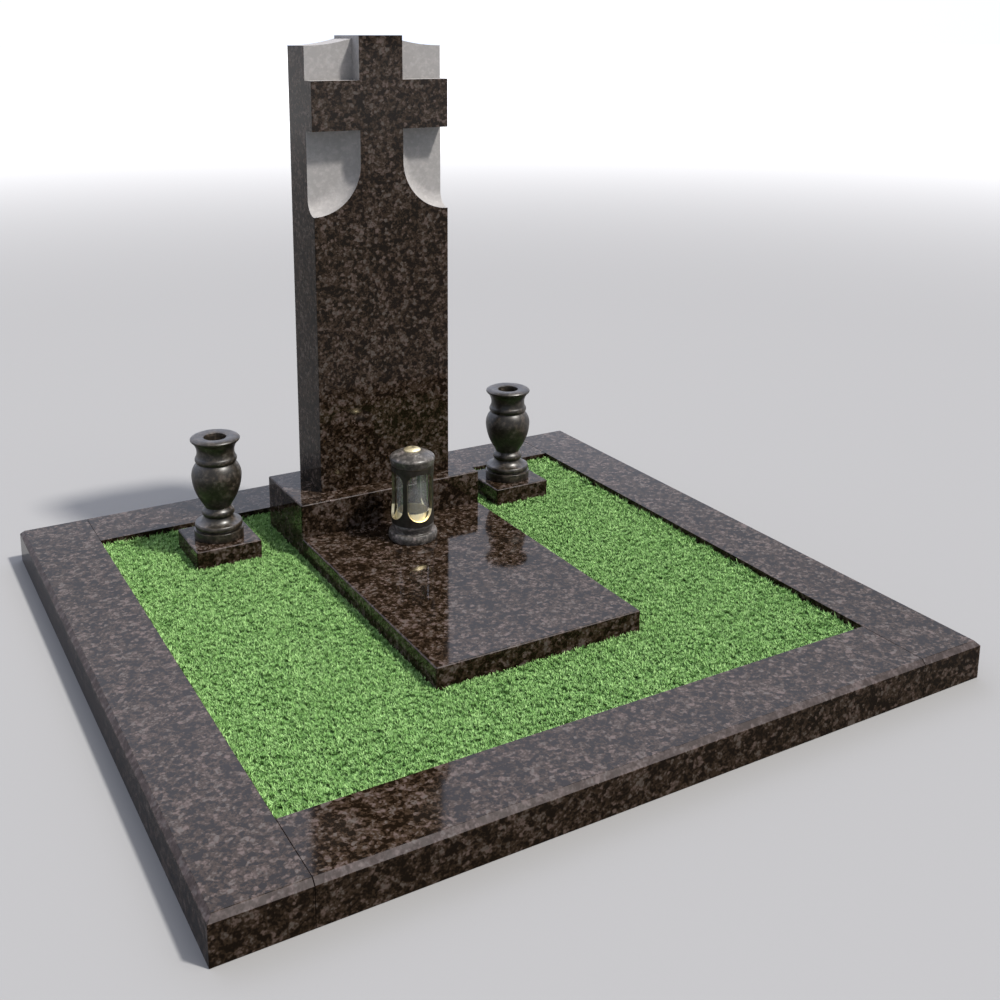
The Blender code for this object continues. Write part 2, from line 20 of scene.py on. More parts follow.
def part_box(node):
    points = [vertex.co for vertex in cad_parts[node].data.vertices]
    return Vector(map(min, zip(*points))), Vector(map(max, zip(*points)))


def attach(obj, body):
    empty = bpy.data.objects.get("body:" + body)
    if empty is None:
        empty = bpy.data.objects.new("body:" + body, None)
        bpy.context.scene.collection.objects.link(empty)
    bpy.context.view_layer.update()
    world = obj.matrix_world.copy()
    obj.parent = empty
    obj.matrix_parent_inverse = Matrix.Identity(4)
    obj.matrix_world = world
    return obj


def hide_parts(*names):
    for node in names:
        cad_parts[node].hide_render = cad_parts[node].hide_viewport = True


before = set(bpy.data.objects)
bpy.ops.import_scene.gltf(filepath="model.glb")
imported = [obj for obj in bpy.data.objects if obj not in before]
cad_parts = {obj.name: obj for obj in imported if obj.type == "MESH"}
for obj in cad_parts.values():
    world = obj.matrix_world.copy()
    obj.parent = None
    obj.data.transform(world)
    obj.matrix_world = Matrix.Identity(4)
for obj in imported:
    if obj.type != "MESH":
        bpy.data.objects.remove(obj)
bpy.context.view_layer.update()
BODY = "root"
# The kerb's nodes, and those of the slabs in the lawn
KERB = ("kerb_left", "kerb_right", "kerb_front", "kerb_back")
SLABS = ("ledger", "plinth", "vase_base_left", "vase_base_right")

log = logging.getLogger("memorial")

Point = tuple[float, float]
Band = tuple[float, float]
Color = tuple[float, float, float]

# How closely points merge, and how far a straight stretch may leave its arc
MERGE = 0.00001
ARC_SAG = 0.00006
# What is flat, what is eased and what is shaded as an edge
FLAT_ANGLE = math.radians(0.2)
EASED_ANGLE = math.radians(35.0)
SHARP_ANGLE = math.radians(26.0)
EASING_STEPS = 3
QUARTER_BULGE = math.tan(math.pi / 8)
ROUND_PROFILE = 0.5
# The band round a noise's middle, and the detail of a fine noise
MIDDLE = (0.3, 0.7)
FINE_DETAIL = 4.0


class Side(Enum):
    """The two sides of the memorial, with the sign of their x."""

    LEFT = -1
    RIGHT = 1


class Layer(Enum):
    """Which of a piece's finishes a face takes."""

    OUTER = 0
    CUT = 1
    # The third finish: a darker copy that paints shade, on stone sides and inside the lantern.
    LINING = 2


class Slot(Enum):
    """Names of the material slots."""

    GRANITE = "granite"
    BRONZE = "dark_bronze"
    BRASS = "brass"
    GLASS = "clear_glass"
    TURF = "turf"


def joined(operation: str, swapped: bool = False) -> Callable[["Channel", "Operand"], "Channel"]:
    """Return a method that joins a channel and another value in one Math node.

    Args:
        operation: What the node does.
        swapped: Whether the other value stands first, as in 1 - mask.

    Returns:
        The method.
    """

    def method(channel: "Channel", other: "Operand") -> "Channel":
        """Return the node's result."""
        pair = (other, channel) if swapped else (channel, other)
        return channel.graph.math(operation, *pair)

    return method


class Channel:
    """A node's output that takes part in sums like a number."""

    __add__ = joined("ADD")
    __radd__ = joined("ADD", swapped=True)
    __sub__ = joined("SUBTRACT")
    __rsub__ = joined("SUBTRACT", swapped=True)
    __mul__ = joined("MULTIPLY")
    __rmul__ = joined("MULTIPLY", swapped=True)
    __truediv__ = joined("DIVIDE")
    __rtruediv__ = joined("DIVIDE", swapped=True)
    least = joined("MINIMUM")

    def __init__(self, graph: "NodeGraph", socket: NodeSocket) -> None:
        """Remember the output and the graph it belongs to."""
        self.graph = graph
        self.socket = socket

    def size(self) -> "Channel":
        """Return the value without its sign."""
        return self.graph.math("ABSOLUTE", self)

    def span(self, low: float, high: float) -> "Channel":
        """Return a value between 0 and 1 spread from low to high."""
        return self * (high - low) + low

    def rise(self, low: float, high: float) -> "Channel":
        """Return 0 below low, 1 above high, and a smooth step between them."""
        inputs = {"Value": self, "From Min": low, "From Max": high}
        return self.graph.node(
            "ShaderNodeMapRange", inputs, "Result", interpolation_type="SMOOTHSTEP"
        )


Operand = Channel | float


class NodeGraph:
    """Adds nodes to a shader or geometry tree and links them."""

    def __init__(self, tree: NodeTree) -> None:
        """Remember the tree."""
        self.tree = tree

    @staticmethod
    def pick(sockets: bpy.types.bpy_prop_collection, name: str) -> NodeSocket:
        """Return the socket of that name that the node's settings leave in use."""
        return next(socket for socket in sockets if socket.name == name and socket.enabled)

    def node(self, kind: str, inputs: dict, output: str, **settings: object) -> Channel:
        """Add a node.

        Args:
            kind: Blender's name for the node's type.
            inputs: A channel or a plain value for each named input.
            output: The name of the output to return.
            **settings: The node's own properties.

        Returns:
            The named output.
        """
        node = self.tree.nodes.new(kind)
        for name, value in settings.items():
            setattr(node, name, value)
        for name, value in inputs.items():
            self.feed(self.pick(node.inputs, name), value)
        return Channel(self, self.pick(node.outputs, output))

    def feed(self, socket: NodeSocket, value: object) -> None:
        """Link a channel to an input, or set the input to a plain value or opaque colour."""
        if isinstance(value, Channel):
            self.tree.links.new(value.socket, socket)
        else:
            socket.default_value = (*value, 1.0) if socket.type == "RGBA" else value

    def math(
        self, operation: str, *values: object, kind: str = "Math", output: str = "Value"
    ) -> Channel:
        """Return the result of a Math or Vector Math node.

        Args:
            operation: What it does.
            *values: Its numbers or vectors, in order.
            kind: Math or VectorMath.
            output: Which output is returned, Value or Vector.

        Returns:
            The result.
        """
        node = self.tree.nodes.new(f"ShaderNode{kind}")
        node.operation = operation
        for socket, value in zip(node.inputs, values):
            self.feed(socket, value)
        return Channel(self, node.outputs[output])

    def vector(self, operation: str, *values: object, output: str = "Vector") -> Channel:
        """Return one Vector Math node's result."""
        return self.math(operation, *values, kind="VectorMath", output=output)

    def part(self, vector: Channel, axis: str) -> Channel:
        """Return a vector's X, Y or Z."""
        return self.node("ShaderNodeSeparateXYZ", {"Vector": vector}, axis)

    def mix(self, factor: Operand, first: object, second: object) -> Channel:
        """Return a blend of two colours."""
        inputs = {"Factor": factor, "A": first, "B": second}
        return self.node("ShaderNodeMix", inputs, "Result", data_type="RGBA")


class MaterialGraph(NodeGraph):
    """The node tree of one material, round its Principled shader."""

    def __init__(self, name: str) -> None:
        """Start a material of that name."""
        self.material = bpy.data.materials.new(name)
        self.material.use_nodes = True
        super().__init__(self.material.node_tree)
        self.shader = self.tree.nodes["Principled BSDF"]

    def place(self) -> Channel:
        """Return the object coordinates, in metres."""
        return self.node("ShaderNodeTexCoord", {}, "Object")

    def noise(self, place: Channel, scale: float, detail: float = 2.0) -> Channel:
        """Return smooth noise between 0 and 1."""
        inputs = {"Vector": place, "Scale": scale, "Detail": detail}
        return self.node("ShaderNodeTexNoise", inputs, "Fac")

    def bent(self, place: Channel, scale: float, reach: float) -> Channel:
        """Return coordinates pushed about by noise, so that cells lose their straight sides."""
        inputs = {"Vector": place, "Scale": scale}
        push = self.node("ShaderNodeTexNoise", inputs, "Color")
        centred = self.vector("SUBTRACT", push, (0.5, 0.5, 0.5))
        moved = self.vector("MULTIPLY", centred, (reach, reach, reach))
        return self.vector("ADD", place, moved)

    def grains(self, place: Channel, scale: float, softness: float) -> tuple[Channel, Channel]:
        """Return two random values that are each the same across one crystal."""
        inputs = {"Vector": place, "Scale": scale, "Smoothness": softness}
        tint = self.node("ShaderNodeTexVoronoi", inputs, "Color", feature="SMOOTH_F1")
        split = self.tree.nodes.new("ShaderNodeSeparateColor")
        self.feed(split.inputs[0], tint)
        return Channel(self, split.outputs[0]), Channel(self, split.outputs[1])

    def bump(self, height: Channel, strength: float, distance: float) -> None:
        """Raise the surface by a height."""
        inputs = {"Height": height, "Strength": strength, "Distance": distance}
        self.set(Normal=self.node("ShaderNodeBump", inputs, "Normal"))

    def set(self, **inputs: object) -> None:
        """Set the shader's inputs; an underscore in a name stands for a space."""
        for name, value in inputs.items():
            self.feed(self.shader.inputs[name.replace("_", " ")], value)


@dataclass(frozen=True)
class Finish:
    """A named finish."""

    name: str

    def paint(self, graph: MaterialGraph, place: Channel) -> None:
        """Set the shader's inputs; each kind of finish does this in its own way."""
        raise NotImplementedError

    def material(self) -> Material:
        """Return the finished material."""
        graph = MaterialGraph(self.name)
        self.paint(graph, graph.place())
        return graph.material


@dataclass(frozen=True)
class Granite(Finish):
    """Granite: brown grains with dark spots and soft pinkish or grey flecks."""

    ground: Color
    grain: Color
    pink: Color
    grey: Color
    roughness: Band
    specular: float
    relief: float = 0.0
    relief_strength: float = 0.6
    crystal_scale: float = 98.0
    crystal_bend: float = 0.006
    softness: float = 0.7
    speck_scale: float = 250.0
    speck_share: float = 0.4
    cloud_scale: float = 20.0
    cloud_share: float = 0.7
    cloud_detail: float = 3.0
    dark_band: Band = (0.26, 0.54)
    fleck_band: Band = (0.50, 0.86)

    def color(self, graph: MaterialGraph, place: Channel) -> Channel:
        """Return the stone's colour.

        Args:
            graph: The material being made.
            place: Object coordinates in metres.

        Returns:
            The colour at each point.
        """
        bent = graph.bent(place, self.crystal_scale, self.crystal_bend)
        pick, kind = graph.grains(bent, self.crystal_scale, self.softness)
        fine, _ = graph.grains(bent, self.speck_scale, self.softness)
        cloud = (graph.noise(place, self.cloud_scale, self.cloud_detail) - 0.5) * self.cloud_share
        level = pick * (1.0 - self.speck_share) + fine * self.speck_share + cloud
        brown = graph.mix(level.rise(*self.dark_band), self.ground, self.grain)
        light = graph.mix(kind.rise(*MIDDLE), self.pink, self.grey)
        return graph.mix(level.rise(*self.fleck_band), brown, light)

    def paint(self, graph: MaterialGraph, place: Channel) -> None:
        """Set the shader's inputs."""
        worn = graph.noise(place, self.cloud_scale * 2).rise(*MIDDLE)
        graph.set(
            Base_Color=self.color(graph, place),
            Roughness=worn.span(*self.roughness),
            Specular_IOR_Level=self.specular,
        )
        if self.relief > 0.0:
            height = graph.noise(place, self.speck_scale * 2, FINE_DETAIL)
            graph.bump(height, self.relief_strength, self.relief)


@dataclass(frozen=True)
class Metal(Finish):
    """A cast metal with a slightly uneven tone."""

    bright: Color
    dull: Color
    metallic: float
    roughness: Band
    specular: float = 0.5
    cloud_scale: float = 60.0

    def paint(self, graph: MaterialGraph, place: Channel) -> None:
        """Set the shader's inputs."""
        cloud = graph.noise(place, self.cloud_scale, FINE_DETAIL).rise(*MIDDLE)
        graph.set(
            Base_Color=graph.mix(cloud, self.bright, self.dull),
            Roughness=cloud.span(*self.roughness),
            Metallic=self.metallic,
            Specular_IOR_Level=self.specular,
        )


@dataclass(frozen=True)
class Glass(Finish):
    """Clear glass, faintly uneven."""

    tint: Color = (0.90, 0.93, 0.94)
    roughness: Band = (0.0, 0.03)
    uneven_scale: float = 40.0
    ior: float = 1.45
    clearness: float = 0.95

    def paint(self, graph: MaterialGraph, place: Channel) -> None:
        """Set the shader's inputs."""
        graph.set(
            Base_Color=self.tint,
            Roughness=graph.noise(place, self.uneven_scale).span(*self.roughness),
            Transmission_Weight=self.clearness,
            IOR=self.ior,
        )


@dataclass(frozen=True)
class Grass(Finish):
    """Blades of turf: darker toward the root as painted shade, each with its own tone."""

    root_height: float
    tip_height: float
    # The root colour: painted shade low in the turf.
    deep: Color = (0.068, 0.155, 0.035)
    mid: Color = (0.148, 0.292, 0.080)
    light: Color = (0.305, 0.490, 0.185)
    tone_band: Band = (0.15, 0.95)
    patch_scale: float = 9.0
    patch_share: float = 0.5
    roughness: Band = (0.55, 0.75)
    specular: float = 0.25

    def paint(self, graph: MaterialGraph, place: Channel) -> None:
        """Set the shader's inputs."""
        # Painted shade: each blade blends from the root colour up to its own tone at the tip.
        lit = graph.part(place, "Z").rise(self.root_height, self.tip_height)
        tone = graph.node("ShaderNodeAttribute", {}, "Fac", attribute_name="tone")
        patch = (graph.noise(place, self.patch_scale) - 0.5) * self.patch_share
        blade = graph.mix((tone + patch).rise(*self.tone_band), self.mid, self.light)
        graph.set(
            Base_Color=graph.mix(lit, self.deep, blade),
            Roughness=tone.span(*self.roughness),
            Specular_IOR_Level=self.specular,
        )


@dataclass(frozen=True)
class Thatch(Finish):
    """The dark mat under the blades."""

    deep: Color = (0.03, 0.08, 0.015)
    light: Color = (0.09, 0.20, 0.045)
    fibre_scale: float = 420.0
    fibre_band: Band = (0.35, 0.7)
    roughness: float = 0.95

    def paint(self, graph: MaterialGraph, place: Channel) -> None:
        """Set the shader's inputs."""
        fibre = graph.noise(place, self.fibre_scale, FINE_DETAIL).rise(*self.fibre_band)
        graph.set(Base_Color=graph.mix(fibre, self.deep, self.light), Roughness=self.roughness)


@dataclass(frozen=True)
class PaleFloor(Finish):
    """A plain pale studio floor."""

    near: Color = (0.21, 0.21, 0.21)
    far: Color = (0.55, 0.55, 0.55)
    reach: Band = (4.0, 22.0)
    roughness: float = 0.9
    specular: float = 0.0

    def paint(self, graph: MaterialGraph, place: Channel) -> None:
        """Set the shader's inputs."""
        away = graph.vector("DISTANCE", place, (0.0, 0.0, 0.0), output="Value")
        graph.set(
            Base_Color=graph.mix(away.rise(*self.reach), self.near, self.far),
            Roughness=self.roughness,
            Specular_IOR_Level=self.specular,
        )


@dataclass(frozen=True)
class Finishes:
    """Every material of the memorial, made once."""

    polished: Material
    # Painted shade: a darker, less shiny copy of the polished granite for upright sides.
    sides: Material
    honed: Material
    turned: Material
    lantern_stone: Material
    matt: Material
    bronze: Material
    brass: Material
    shaded_brass: Material
    glass: Material
    thatch: Material

    @classmethod
    def make(cls) -> "Finishes":
        """Return the finishes."""
        stone = Granite(
            "polished granite", (0.005, 0.003, 0.0016), (0.022, 0.0138, 0.0083),
            (0.068, 0.050, 0.044), (0.060, 0.050, 0.044), (0.05, 0.09), specular=0.14,
        )
        # The upright sides of the kerb and stele: a darker, less shiny copy of the polished
        # granite, painted shade.
        sides = replace(
            stone, name="granite sides", grain=(0.018, 0.0113, 0.0066),
            pink=(0.060, 0.043, 0.036), grey=(0.053, 0.043, 0.036), specular=0.04,
        )
        honed = Granite(
            "honed granite", (0.024, 0.018, 0.017), (0.038, 0.029, 0.028),
            (0.070, 0.055, 0.054), (0.062, 0.054, 0.053), (0.40, 0.55), specular=0.10,
        )
        turned = Granite(
            "turned granite", (0.008, 0.006, 0.0035), (0.018, 0.014, 0.009),
            (0.045, 0.034, 0.026), (0.040, 0.035, 0.028), (0.34, 0.44), specular=0.45,
        )
        lantern_stone = Granite(
            "lantern granite", (0.030, 0.027, 0.024), (0.058, 0.052, 0.046),
            (0.130, 0.108, 0.100), (0.115, 0.108, 0.100), (0.30, 0.42), specular=0.35,
        )
        matt = Granite(
            "matt granite", (0.222, 0.214, 0.209), (0.240, 0.231, 0.225), (0.275, 0.260, 0.252),
            (0.265, 0.258, 0.252), (0.75, 0.9), specular=0.20, relief=0.0004,
        )
        bronze = Metal(
            "black bronze", (0.010, 0.008, 0.006), (0.018, 0.015, 0.012), 0.0, (0.32, 0.48),
            specular=0.2,
        )
        brass = Metal("brass", (0.92, 0.82, 0.54), (0.76, 0.65, 0.40), 1.0, (0.36, 0.55))
        # A dark copy of the brass, painted shade inside the lantern and on the window reveals.
        dull = Metal("dull brass", (0.20, 0.17, 0.11), (0.11, 0.10, 0.07), 1.0, (0.35, 0.55))
        made = (
            stone, sides, honed, turned, lantern_stone, matt, bronze, brass, dull,
            Glass("clear glass"), Thatch("turf backing"),
        )
        return cls(*(finish.material() for finish in made))


def arc(start: Point, end: Point, bulge: float) -> list[Point]:
    """Return the points after start on an arc to end, or the end of a straight stretch.

    Args:
        start: Where the arc leaves.
        end: Where it arrives.
        bulge: Its height over its chord as a share of half the chord, positive where it
            bows to the left of the way.

    Returns:
        The points, without start.
    """
    first, last = Vector(start), Vector(end)
    if bulge == 0.0:
        return [tuple(last)]
    chord = last - first
    steps = math.ceil(math.sqrt(abs(bulge) * chord.length / 2 / ARC_SAG))
    half_turn = 2.0 * math.atan(bulge)
    radius = chord.length / 2 / math.sin(half_turn)
    left = Vector((-chord.y, chord.x)).normalized()
    centre = (first + last) / 2 - left * radius * math.cos(half_turn)
    spoke = first - centre
    points = []
    for i in range(1, steps + 1):
        turned = Matrix.Rotation(-2.0 * half_turn * i / steps, 2) @ spoke
        points.append(tuple(centre + turned))
    return points


@dataclass(frozen=True)
class Run:
    """A stretch of a turned profile, from the foot up: where it ends and how it bows.

    A positive bow swells outward and a negative one is a hollow.
    """

    radius: float
    rise: float = 0.0
    bow: float = 0.0


def profile(runs: tuple[Run, ...], radius: float = 0.0, height: float = 0.0) -> list[Point]:
    """Return the points of a profile.

    Args:
        runs: Its stretches in order.
        radius: Where it starts.
        height: The height where it starts.

    Returns:
        Radius and height of each point.
    """
    points = [(radius, height)]
    for run in runs:
        height += run.rise
        points += arc(points[-1], (run.radius, height), -run.bow)
    return points


def mesh_from(shape: BMesh, name: str) -> Mesh:
    """Return a finished bmesh as a mesh and free it."""
    mesh = bpy.data.meshes.new(name)
    shape.to_mesh(mesh)
    shape.free()
    return mesh


def turned_mesh(
    name: str, points: list[Point], steps: int, closed: bool = False, ease: float = 0.0
) -> Mesh:
    """Spin a profile round Z.

    Args:
        name: The mesh's name.
        points: Radius and height of each point.
        steps: How many times it is set round the axis.
        closed: Whether the last point joins the first, as on a ring.
        ease: How wide its arrises are rounded.

    Returns:
        A closed mesh whose faces point out.
    """
    shape = bmesh.new()
    verts = [shape.verts.new((radius, 0.0, height)) for radius, height in points]
    following = verts[1:] + (verts[:1] if closed else [])
    edges = [shape.edges.new(pair) for pair in zip(verts, following)]
    bmesh.ops.spin(
        shape, geom=verts + edges, cent=(0.0, 0.0, 0.0), axis=(0.0, 0.0, 1.0),
        angle=math.tau, steps=steps, use_merge=True,
    )
    bmesh.ops.remove_doubles(shape, verts=shape.verts, dist=MERGE)
    bmesh.ops.recalc_face_normals(shape, faces=shape.faces)
    if ease > 0.0:
        ease_edges(shape, ease)
    return mesh_from(shape, name)


def ease_edges(shape: BMesh, width: float) -> None:
    """Round a shape's edges over a width, where they turn by enough."""
    edges = [edge for edge in shape.edges if edge.calc_face_angle(0.0) > EASED_ANGLE]
    bmesh.ops.bevel(
        shape, geom=edges, offset=width, offset_type="OFFSET", segments=EASING_STEPS,
        profile=ROUND_PROFILE, affect="EDGES", clamp_overlap=True,
    )


def stone_mesh(node: str, width: float) -> Mesh:
    """Return a node's shape as one welded stone with eased edges."""
    shape = bmesh.new()
    shape.from_mesh(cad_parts[node].data)
    bmesh.ops.remove_doubles(shape, verts=shape.verts, dist=MERGE)
    bmesh.ops.dissolve_limit(
        shape, angle_limit=FLAT_ANGLE, verts=shape.verts, edges=shape.edges
    )
    ease_edges(shape, width)
    return mesh_from(shape, node)


def plate_mesh(name: str, points: list[Point], thickness: float) -> Mesh:
    """Return a flat outline in x and z as a plate centred on its plane.

    Args:
        name: The mesh's name.
        points: The outline.
        thickness: How thick the plate is, along y.

    Returns:
        A closed mesh whose faces point out.
    """
    shape = bmesh.new()
    verts = [shape.verts.new((x, -thickness / 2, z)) for x, z in points]
    front = shape.faces.new(verts)
    pushed = bmesh.ops.extrude_face_region(shape, geom=[front])
    moved = [item for item in pushed["geom"] if isinstance(item, BMVert)]
    bmesh.ops.translate(shape, vec=(0.0, thickness, 0.0), verts=moved)
    bmesh.ops.recalc_face_normals(shape, faces=shape.faces)
    return mesh_from(shape, name)


def show(name: str, data: ID) -> Object:
    """Return a mesh, light or camera as an object of the scene, at the origin."""
    item = bpy.data.objects.new(name, data)
    bpy.context.scene.collection.objects.link(item)
    return item


def settle(item: Object) -> Mesh:
    """Return an object's mesh with its modifiers applied, and remove the object."""
    graph = bpy.context.evaluated_depsgraph_get()
    mesh = bpy.data.meshes.new_from_object(
        item.evaluated_get(graph), preserve_all_data_layers=True, depsgraph=graph
    )
    bpy.data.objects.remove(item, do_unlink=True)
    return mesh


def carve(mesh: Mesh, cutters: list[Mesh]) -> Mesh:
    """Cut shapes out of a mesh; the cut faces keep the cutter's material number.

    Args:
        mesh: What is carved.
        cutters: What is taken away.

    Returns:
        The carved mesh.
    """
    item = show("carving", mesh)
    tools = [show(f"cutter_{i}", cutter) for i, cutter in enumerate(cutters)]
    for tool in tools:
        boolean = item.modifiers.new(tool.name, "BOOLEAN")
        boolean.operation = "DIFFERENCE"
        boolean.solver = "EXACT"
        boolean.object = tool
    carved = settle(item)
    for tool in tools:
        bpy.data.objects.remove(tool, do_unlink=True)
    return carved


def smooth(mesh: Mesh) -> Mesh:
    """Shade a mesh smooth, except over its sharp edges."""
    mesh.shade_smooth()
    mesh.set_sharp_from_angle(angle=SHARP_ANGLE)
    return mesh


def dress(mesh: Mesh, *materials: Material) -> Mesh:
    """Give a mesh its finishes, in the order of its material numbers."""
    for material in materials:
        mesh.materials.append(material)
    return mesh


def add_piece(name: str, mesh: Mesh, node: str = "") -> None:
    """Add a finished piece, which rides on the memorial's body.

    Args:
        name: The piece's name.
        mesh: Its mesh, dressed and in place.
        node: The node it stands for, or an empty string where it stands for none.
    """
    mesh.name = name
    piece = show(name, mesh)
    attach(piece, BODY)
    if node:
        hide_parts(node)
    log.info("%s: %d faces", name, len(mesh.polygons))


@dataclass
class Stones:
    """The plain sawn stones: kerb, ledger, plinth and vase bases."""

    finishes: Finishes
    kerb_ease: float = 0.0009
    slab_ease: float = 0.0010
    sloping: Band = (0.6, 0.8)
    upright: float = 0.3

    def hone(self, mesh: Mesh, sides: Layer) -> None:
        """Mark a stone's sloping chamfers as honed and give its upright faces a finish, which on
        the kerb is the darker granite of painted shade.
        """
        steepest, flattest = self.sloping
        for polygon in mesh.polygons:
            if steepest < polygon.normal.z < flattest:
                polygon.material_index = Layer.CUT.value
            elif abs(polygon.normal.z) < self.upright:
                polygon.material_index = sides.value

    def build(self) -> None:
        """Make each stone from its node, with eased edges; the kerb's sides are darker and shine
        less, as painted shade.
        """
        finishes = (self.finishes.polished, self.finishes.honed, self.finishes.sides)
        # The kerb's upright faces take the darker granite that paints shade; the slabs' stay
        # polished.
        sets = ((KERB, self.kerb_ease, Layer.LINING), (SLABS, self.slab_ease, Layer.OUTER))
        for nodes, width, sides in sets:
            for node in nodes:
                mesh = dress(stone_mesh(node, width), *finishes)
                self.hone(mesh, sides)
                add_piece(f"{node}_stone", mesh, node)


@dataclass
class Stele:
    """The tall stone with a cross that stands proud of four sunk matt fields."""

    finishes: Finishes
    shaft_width: float = 0.138
    recess_depth: float = 0.048
    arm_top_drop: float = 0.126
    arm_height: float = 0.142
    shoulder_drop: float = 0.513
    hollow_quirk: float = 0.001
    hollow_steps: int = 18
    crest_step: float = 0.009
    crest_fall: float = 0.020
    margin: float = 0.030
    ease: float = 0.0015
    sideways: float = 0.9
    node: str = "stele"

    def __post_init__(self) -> None:
        """Take the stone's size and place from its node."""
        self.low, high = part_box(self.node)
        self.size = high - self.low
        self.half = self.size.x / 2
        self.shaft = self.shaft_width / 2
        self.arm_top = self.size.z - self.arm_top_drop
        self.arm_foot = self.arm_top - self.arm_height
        self.thickness = self.recess_depth + self.margin
        self.beyond = self.half + self.margin
        self.above = self.size.z + self.margin

    def lower_outline(self) -> list[Point]:
        """Return the field below the right arm, with a quarter circle at its foot."""
        low = self.size.z - self.shoulder_drop
        spring = (self.shaft, low + self.half - self.shaft)
        points = [(self.beyond, self.arm_foot), (self.shaft, self.arm_foot), spring]
        points += arc(spring, (self.half, low), -QUARTER_BULGE)
        return points + [(self.beyond, low)]

    def upper_outline(self) -> list[Point]:
        """Return the square field above the right arm."""
        west, east, foot, top = self.shaft, self.beyond, self.arm_top, self.above
        return [(west, foot), (east, foot), (east, top), (west, top)]

    def crest_outline(self) -> list[Point]:
        """Return what is cut off the right shoulder: a step and a hollow fall."""
        start = (self.shaft, self.size.z - self.crest_step)
        end = (self.half, start[1] - self.crest_fall)
        turn = math.atan2(self.crest_fall, self.half - self.shaft)
        points = [(self.shaft, self.above), start]
        points += arc(start, end, -math.tan(turn / 2))
        return points + [(self.beyond, end[1]), (self.beyond, self.above)]

    def hollow(self, mesh: Mesh) -> None:
        """Round the cutter's back edges, so that it leaves a quarter hollow in the stone."""
        shape = bmesh.new()
        shape.from_mesh(mesh)
        back = self.thickness / 2

        def rounded(edge: BMEdge) -> bool:
            """Tell whether an edge lies at the back, off the field's top and open side."""
            ends = [vert.co for vert in edge.verts]
            behind = all(abs(end.y - back) < MERGE for end in ends)
            on_top = all(abs(end.z - self.arm_foot) < MERGE for end in ends)
            on_side = all(abs(end.x - self.beyond) < MERGE for end in ends)
            return behind and not on_top and not on_side

        edges = [edge for edge in shape.edges if rounded(edge)]
        bmesh.ops.bevel(
            shape, geom=edges, offset=self.recess_depth - self.hollow_quirk,
            offset_type="OFFSET", segments=self.hollow_steps, profile=ROUND_PROFILE,
            affect="EDGES", clamp_overlap=False,
        )
        shape.to_mesh(mesh)
        shape.free()

    def cutter(self, mesh: Mesh, side: Side, depth: float) -> Mesh:
        """Return a cutter set on one side of the stone, marked as leaving matt faces.

        Args:
            mesh: The right-hand cutter round its own plane.
            side: The side it is for.
            depth: Where its plane lies, behind the stone's face.

        Returns:
            A copy in place.
        """
        shape = bmesh.new()
        shape.from_mesh(mesh)
        bmesh.ops.scale(shape, vec=(side.value, 1.0, 1.0), verts=shape.verts)
        middle = Vector((self.low.x + self.half, self.low.y + depth, self.low.z))
        bmesh.ops.translate(shape, vec=middle, verts=shape.verts)
        bmesh.ops.recalc_face_normals(shape, faces=shape.faces)
        for face in shape.faces:
            face.material_index = Layer.CUT.value
        return mesh_from(shape, mesh.name)

    def block(self) -> Mesh:
        """Return the uncut stone with eased edges and its two sides marked for the darker granite
        that paints shade.
        """
        shape = bmesh.new()
        bmesh.ops.create_cube(shape, size=1.0)
        bmesh.ops.scale(shape, vec=self.size, verts=shape.verts)
        bmesh.ops.translate(shape, vec=self.low + self.size / 2, verts=shape.verts)
        ease_edges(shape, self.ease)
        shape.normal_update()
        for face in shape.faces:
            if abs(face.normal.x) > self.sideways:
                face.material_index = Layer.LINING.value
        return mesh_from(shape, self.node)

    def build(self) -> None:
        """Carve the stone and dress it: polished outside, matt where it is sunk, and darker on its
        two sides as painted shade.
        """
        stone = (self.finishes.polished, self.finishes.matt, self.finishes.sides)
        lower = plate_mesh("lower_field", self.lower_outline(), self.thickness)
        self.hollow(lower)
        upper = plate_mesh("upper_field", self.upper_outline(), self.thickness)
        whole = self.size.y + 2 * self.margin
        crest = plate_mesh("crest", self.crest_outline(), whole)
        field_depth = self.recess_depth - self.thickness / 2
        depths = ((lower, field_depth), (upper, field_depth), (crest, self.size.y / 2))
        cutters = [
            dress(self.cutter(mesh, side, depth), *stone) for mesh, depth in depths for side in Side
        ]
        mesh = carve(dress(self.block(), *stone), cutters)
        add_piece("stele_stone", mesh, self.node)


def axis_of(node: str) -> Vector:
    """Return the foot of a node's upright middle line."""
    low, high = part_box(node)
    return Vector(((low.x + high.x) / 2, (low.y + high.y) / 2, low.z))


